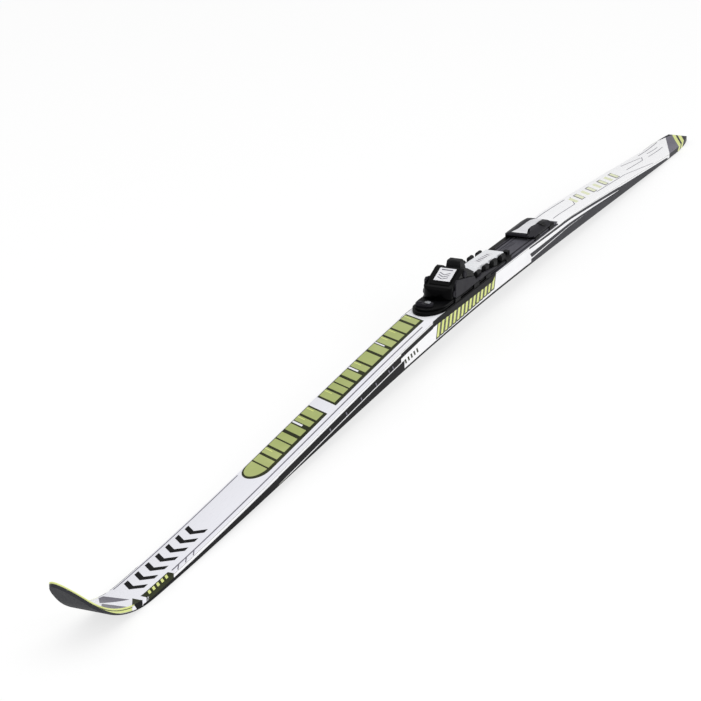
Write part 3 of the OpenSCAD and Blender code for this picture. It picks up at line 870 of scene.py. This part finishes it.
# the thin upper band at the rear, in two stretches, and the lower one, as rows like those above
REAR_EDGES = [(-300, -240, falling(-240, 0.6, 0.012), falling(-240, 3, 0.025)),
              (-620, -300, falling(-300, 1.4, 0.007), falling(-300, 4.5, 0.0115))]
LOWER_BAND = (-620, -262, falling(-262, 10.5, -0.004), falling(-262, 17, -0.021))
# the band along the base behind the binding: ends, its upper line, and the least height it keeps
KEEL_ENDS = (-620, -248)
KEEL_LINE = falling(-248, 19, -0.028)
KEEL_LEAST = 0.5
# ends of the binding's stretch, where black comes over the edge from the plate's side: partly a dark print,
# partly painted shadow of the plate
COVER_REAR, COVER_FRONT = -96, 100
COVER_DEPTH = 8
COVER_TAIL = [(-96, CLOSED), (-96, 8), (-104, 8), (-116, CLOSED)]
# the black on the top sheet between the plate's side and the ski's edge: partly a dark print, partly painted
# shadow of the plate
BRINK_REAR, BRINK_FRONT = -116, 86
PLATE_SIDE = 21.3
# bars under the binding: count, front place, pitch, lean, and rear and front reach of the bar itself
SIDE_BARS = 15
BAR_X = 84
BAR_PITCH = 13.4
BAR_LEAN = -5
BAR_REACH = (3.2, 3.8)
BAR_UPPER = falling(90, 7.5, -0.028)
BAR_LOWER = falling(90, 26, -0.035)
BAR_GAP = 0.8
# the dark frame of each bar: lean, rear and front reach, and how far it goes past the upper and lower line
FRAME_LEAN = -6
FRAME_REACH = (5.9, 6.7)
FRAME_OVER = 1
# rows of bars, as above
SIDE_HATCH = (6, 146, 9, 4, 21, 14.5, 4)
TAIL_TICKS = (2, -951, 19, 12, CLOSED, 7, 8)
# short grey marks in front of the binding: rear ends, width, two depths, lean
MARK_REARS = (402, 357, 315, 272, 234, 222)
MARK_W = 2.6
MARK_DEPTHS = (12.5, 8)
MARK_LEAN = 3
# the front end of the lower band, cut to a slanted point
LOWER_START = [[(-243, 10.5), (-258, 10.5), (-250, 17)],
               [(-258, 10.5), (-262, 10.5), (-262, 17), (-250, 17)]]


def side_prints(side, tag):
    """All prints of one side of the ski, and the black over its edge beside the binding, which is partly
    painted shadow of the plate.
    """
    place = on_side(side)

    def above_base(x, gap=BASE_GAP):
        return top(x) - bottom(x) - gap

    def strip(x0, x1, upper, lower=above_base):
        """A band between two depths, each a number or a function of x."""
        def at(value, x):
            return value(x) if callable(value) else value

        xs = [x1] + cuts_between(x0, x1)[::-1] + [x0]
        return [[(a, at(upper, a)), (b, at(upper, b)), (b, at(lower, b)), (a, at(lower, a))]
                for a, b in zip(xs, xs[1:])]

    def lay(part, ink_name, shapes, level):
        lay_print(f"print_side_{part}_{tag}", ink_name, shapes, place, level)

    def strips(rows):
        return [shape for row in rows for shape in strip(*row)]

    lay("tip", "white", strip(*TIP_WHITE, lambda x: above_base(x, WHITE_GAP)), 1)
    # black beside the binding, down the side and on the top sheet next to the plate: partly print, partly
    # painted shadow of the plate
    lay("cover", "black", strip(COVER_REAR, COVER_FRONT, CLOSED, COVER_DEPTH) + [COVER_TAIL], 3)
    edges = (level_line(PLATE_SIDE), over_edge)
    if side < 0:
        edges = (lambda x: -over_edge(x), level_line(-PLATE_SIDE))
    lay_print("print_side_brink_shade_" + tag, "black", band(BRINK_REAR, BRINK_FRONT, *edges), on_top, 1)
    black = strips(BLACK_BANDS) + strip(*REAR_LINE, lambda x: above_base(x, REAR_LINE_GAP))
    black += [[(NOSE_TOP, CLOSED), (NOSE_BACK, CLOSED), (NOSE_BACK, above_base(NOSE_BACK)),
               (NOSE_FOOT, above_base(NOSE_FOOT))]]
    lay("black", "black", black, 2)
    lay("baseline", "black", strip(*BASE_LINE, lambda x: above_base(x, BASE_LINE_GAP)), 1)
    lay("box", "olive", strip(BOX_REAR, BOX_FRONT, CLOSED, BOX_DEPTH), 1)
    frames = []
    lime = []
    for i in range(SIDE_BARS):
        x = BAR_X - BAR_PITCH * i
        upper, lower = BAR_UPPER(x), BAR_LOWER(x)
        frames.append(slanted(x - FRAME_REACH[0], x + FRAME_REACH[1], lower + FRAME_OVER, upper - FRAME_OVER,
                              FRAME_LEAN))
        lime.append(slanted(x - BAR_REACH[0], x + BAR_REACH[1], lower - BAR_GAP, upper + BAR_GAP, BAR_LEAN))
    lay("rims", "olive", frames, 1)
    lay("lime", "pale", lime, 2)
    lay("hatch", "olive", row_of_bars(*SIDE_HATCH), 1)
    lay("marks", "grey", [slanted(x, x + MARK_W, *MARK_DEPTHS, MARK_LEAN) for x in MARK_REARS], 3)
    lay("edge", "slate", strips(REAR_EDGES), 1)
    lower = LOWER_START + strips([LOWER_BAND, REAR_BAND])
    lower += strip(*KEEL_ENDS, lambda x: min(KEEL_LINE(x), above_base(x) - KEEL_LEAST))
    lay("lower", "slate", lower, 1)
    lay("tail", "slate", strip(*TAIL_BAND), 1)
    lay("ticks", "pale", row_of_bars(*TAIL_TICKS), 2)


# ---- prints on the binding ----
# black lines on the rail plate, those in its grooves being painted shade: inner and outer place across it,
# and height in the binding's frame
PLATE_LINES_AND_SHADE = [(-20.2, -12.9, 4.5), (-12.5, -9.5, 3.3), (-6, -4.5, 3.3), (15, 17.5, 3.3)]
# ends of those lines, how far each is slanted, and how far they stand out and go in
LINES_REAR, LINES_FRONT = -346, 40
LINES_LEAN = 4
LINES_OUT, LINES_IN = 0.05, 0.1


def plate_lines_and_shade():
    """Black lines along the rail plate: painted shade in its grooves, and a black line on its far side."""
    bm = bmesh.new()
    for low, high, level in PLATE_LINES_AND_SHADE:
        slab(bm, SEAT, slanted(LINES_REAR, LINES_FRONT, low, high, LINES_LEAN), level - LINES_IN,
             level + LINES_OUT)
    piece("plate_lines_and_groove_shade", finish_mesh(bm, "plate_lines_and_groove_shade", 30), "ski", INK["black"])


def tip_band(name, ink_name, start, upper, lower, level):
    """A print that runs along the side and round the tip between two depths, each a function of x."""
    lift = lift_of(level)
    xs = stations(start, LAST_X)
    rim_line = [Vector((x, half(x))) for x in xs] + [Vector((x, -half(x))) for x in reversed(xs)]
    bm = bmesh.new()
    rows = []
    for i, point in enumerate(rim_line):
        ahead = rim_line[min(i + 1, len(rim_line) - 1)]
        behind = rim_line[max(i - 1, 0)]
        along_rim = (ahead - behind).normalized()
        out = Vector((-along_rim.y, along_rim.x))
        outer = point + out * lift
        inner = point - out * SINK
        high, low = top(point.x) - upper(point.x), top(point.x) - lower(point.x)
        corners = [(outer.x, outer.y, high), (outer.x, outer.y, low), (inner.x, inner.y, low),
                   (inner.x, inner.y, high)]
        rows.append([bm.verts.new(Vector(corner) * MM) for corner in corners])
    skin(bm, rows)
    piece(name, finish_mesh(bm, name, 30), "ski", INK[ink_name])


# rear ends of the three bands at the tip
LIME_START, OLIVE_START, SHADE_START = 866, 870, 895
# depth to which the lime goes, the two depths of the olive line, and where the shade ends above the base
LIME_DEPTH = 1.3
OLIVE_DEPTHS = (1.9, 2.6)
SHADE_GAP = 0.3
# the shade's upper line, as a share of the side's height: at its start, the least, and the loss per mm
SHADE_SHARE, SHADE_LEAST, SHADE_LOSS = 0.8, 0.42, 0.012


def tip_bands():
    """Lime round the top sheet's edge at the tip, with a dark line and a dark lower side."""
    def tall(x):
        return top(x) - bottom(x)

    def start_of_shade(x):
        return tall(x) * max(SHADE_LEAST, SHADE_SHARE - SHADE_LOSS * max(x - SHADE_START, 0))

    tip_band("print_tip_edge", "pale", LIME_START, level_line(CLOSED), level_line(LIME_DEPTH), 1)
    tip_band("print_tip_line", "olive", OLIVE_START, *map(level_line, OLIVE_DEPTHS), 1)
    tip_band("print_tip_shade", "slate", SHADE_START, start_of_shade, lambda x: tall(x) - SHADE_GAP, 2)


# slope of the label on the button: height lost over a length
LABEL_DROP, LABEL_RUN = 10.3, 27
# lower and upper face of its marks, from the label's middle
LABEL_FOOT, LABEL_HEAD = 0.2, 0.46
LABEL_BAR = (-10.2, -8.2, -7.5, 7.5, 0)
# rows of slanted bars that make its chevrons, as above
LABEL_CHEVRONS = [(3, -4, 4.5, 1.4, -8, -1, 4), (3, 0, 4.5, 1.4, -0.6, 6.4, -4)]


def label_marks():
    """Raised bar and chevrons on the silver label."""
    low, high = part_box("button_label")
    turn = Matrix.Rotation(math.atan(LABEL_DROP / LABEL_RUN) - SEAT_TILT, 4, "Y")
    place = Matrix.Translation((low + high) / 2) @ turn
    bm = bmesh.new()
    for corners in [slanted(*LABEL_BAR)] + [bar for row in LABEL_CHEVRONS for bar in row_of_bars(*row)]:
        slab(bm, place, corners, LABEL_FOOT, LABEL_HEAD)
    mesh = finish_mesh(bm, "label_marks", PRINT_SHARP)
    piece("label_marks", mesh, "release", INK["grey"])


# rise of the inset's top from its rear end to its front end: a length in mm times its slope
INSET_RISE = 50 * 0.0567 * MM
# its row of bars, as above, and their lower and upper face from its top
INSET_BARS = (6, -19, 7, 2.4, -2.8, 2.8, 2.8)
INSET_FOOT, INSET_HEAD = -0.15, 0.06


def inset_marks():
    """Six slanted grey bars on the inset of the boot ridge."""
    low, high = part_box("ridge_inset")
    turn = Matrix.Rotation(-math.atan2(INSET_RISE, high.x - low.x), 4, "Y")
    place = Matrix.Translation(((low.x + high.x) / 2, 0, high.z - INSET_RISE / 2)) @ turn
    bm = bmesh.new()
    for corners in row_of_bars(*INSET_BARS):
        slab(bm, place, corners, INSET_FOOT, INSET_HEAD)
    mesh = finish_mesh(bm, "inset_marks", PRINT_SHARP)
    piece("inset_marks", mesh, "front_unit", INK["grey"])


# ---- small turned details ----
def turned(bm, place, profile, sides=28):
    """Adds a closed solid of revolution about the local Z axis from (radius, height) points in mm."""
    angles = [2 * math.pi * i / sides for i in range(sides)]
    rings = []
    for radius, height in profile:
        points = [(radius * math.cos(a), radius * math.sin(a), height) for a in angles]
        if radius == 0:
            points = [(0, 0, height)]
        rings.append([bm.verts.new(place @ (Vector(point) * MM)) for point in points])
    for near, far in zip(rings, rings[1:]):
        for i in range(sides):
            j = (i + 1) % sides
            corners = [near[i % len(near)], near[j % len(near)], far[j % len(far)], far[i % len(far)]]
            bm.faces.new(list(dict.fromkeys(corners)))


# place of each boss on the sides of the toe housing: x, z and radius
BOSSES = [(-10, 29, 4.6), (25, 13, 4.2)]
# how far out the bosses start, their height at the flank and at the crown, and depth of the hollow
HOUSING_SIDE = 19
BOSS_FLANK, BOSS_SHOULDER, BOSS_CROWN, BOSS_HOLLOW = 1.7, 2.3, 2.5, 2.0
# the shoulder's distance from the flank, and the radius of crown and hollow as shares of the boss's
SHOULDER_IN = 0.5
CROWN_SHARE, HOLLOW_SHARE = 0.6, 0.5


def side_bosses():
    """Rounded pin caps on both sides of the toe housing."""
    bm = bmesh.new()
    for x, z, radius in BOSSES:
        profile = [(0, 0), (radius, 0), (radius, BOSS_FLANK), (radius - SHOULDER_IN, BOSS_SHOULDER),
                   (radius * CROWN_SHARE, BOSS_CROWN), (radius * HOLLOW_SHARE, BOSS_HOLLOW),
                   (0, BOSS_HOLLOW)]
        for side in (-1, 1):
            outward = Matrix.Rotation(-side * math.pi / 2, 4, "X")
            place = SEAT @ Matrix.Translation(Vector((x, side * HOUSING_SIDE, z)) * MM) @ outward
            turned(bm, place, profile)
    piece("housing_bosses", finish_mesh(bm, "housing_bosses", 40), "front_unit",
          MATERIAL["grey_plastic"])


make_ski_layers()
for node_name, edge_width in ROUNDING.items():
    refine(node_name, edge_width)
make_springs()
pattern_prints()
front_prints()
rear_prints()
for ski_side, side_name in ((1, "left"), (-1, "right")):
    side_prints(ski_side, side_name)
tip_bands()
plate_lines_and_shade()
label_marks()
inset_marks()
side_bosses()

# the CAD nodes that stay in view are inside the ski
for part in RECORD["subparts"]:
    carried = frame["nodes"][part["node"]]
    if not carried.hide_render:
        carried.data.materials.clear()
        carried.data.materials.append(MATERIAL[part["material_slot"]])


# ---- camera, floor and light ----
SENSOR = 36.0
LENS = 131.6
CAMERA_PLACE = (2.8499, 1.1582, 1.1144)
# degrees round from the tip's direction, down from level, and round the line of sight
CAMERA_YAW, CAMERA_PITCH, CAMERA_ROLL = 24.42, 20.27, -0.90
CAMERA_CLIP = (0.05, 60)


def make_camera():
    data = bpy.data.cameras.new("camera")
    data.sensor_width = SENSOR
    data.lens = LENS
    data.clip_start, data.clip_end = CAMERA_CLIP
    camera = bpy.data.objects.new("camera", data)
    yaw, pitch, roll = (math.radians(a) for a in (CAMERA_YAW, CAMERA_PITCH, CAMERA_ROLL))
    turn = Matrix.Rotation(yaw + math.pi / 2, 4, "Z") @ Matrix.Rotation(math.pi / 2 - pitch, 4, "X")
    camera.matrix_world = Matrix.Translation(CAMERA_PLACE) @ turn @ Matrix.Rotation(roll, 4, "Z")
    bpy.context.scene.collection.objects.link(camera)
    bpy.context.scene.camera = camera


# the floor reaches this far each way, in m, and lies this far below the ski
FLOOR_REACH = 14.0
FLOOR_DROP = 0.0002
FLOOR_GREY = (0.3, 0.3, 0.3, 1)
WHITE = (1, 1, 1, 1)
# light of the sky, and the floor's own light
SKY = 0.72
FLOOR_GLOW = 0.72


def make_floor():
    mesh = bpy.data.meshes.new("floor")
    corners = [(-1, -1), (1, -1), (1, 1), (-1, 1)]
    mesh.from_pydata([(x * FLOOR_REACH, y * FLOOR_REACH, 0) for x, y in corners], [], [(0, 1, 2, 3)])
    floor = bpy.data.objects.new("floor", mesh)
    floor.location.z = -FLOOR_DROP
    bpy.context.scene.collection.objects.link(floor)
    material = bpy.data.materials.new("floor")
    material.use_nodes = True
    shader = material.node_tree.nodes["Principled BSDF"]
    shader.inputs["Base Color"].default_value = FLOOR_GREY
    shader.inputs["Roughness"].default_value = 0.9
    shader.inputs["Specular IOR Level"].default_value = 0.0
    shader.inputs["Emission Color"].default_value = WHITE
    shader.inputs["Emission Strength"].default_value = FLOOR_GLOW
    mesh.materials.append(material)


# area lights: name, place, target, size, watts
LIGHTS = [
    ("overhead", (0.2, 0.4, 3.0), (0, 0, 0), (4.0, 3.0), 26),
    ("side", (1.6, 3.2, 1.6), (0, 0, 0.05), (3.0, 2.0), 28),
]


def area_light(name, place, target, size, watts):
    data = bpy.data.lights.new(name, "AREA")
    data.shape = "RECTANGLE"
    data.size, data.size_y = size
    data.energy = watts
    light = bpy.data.objects.new(name, data)
    light.location = place
    light.rotation_euler = (Vector(target) - Vector(place)).to_track_quat("-Z", "Y").to_euler()
    bpy.context.scene.collection.objects.link(light)


def make_light():
    world = bpy.data.worlds.new("studio")
    world.use_nodes = True
    world.node_tree.nodes["Background"].inputs["Color"].default_value = WHITE
    world.node_tree.nodes["Background"].inputs["Strength"].default_value = SKY
    bpy.context.scene.world = world
    for light in LIGHTS:
        area_light(*light)


make_camera()
make_floor()
make_light()
bpy.context.scene.view_settings.view_transform = "Standard"
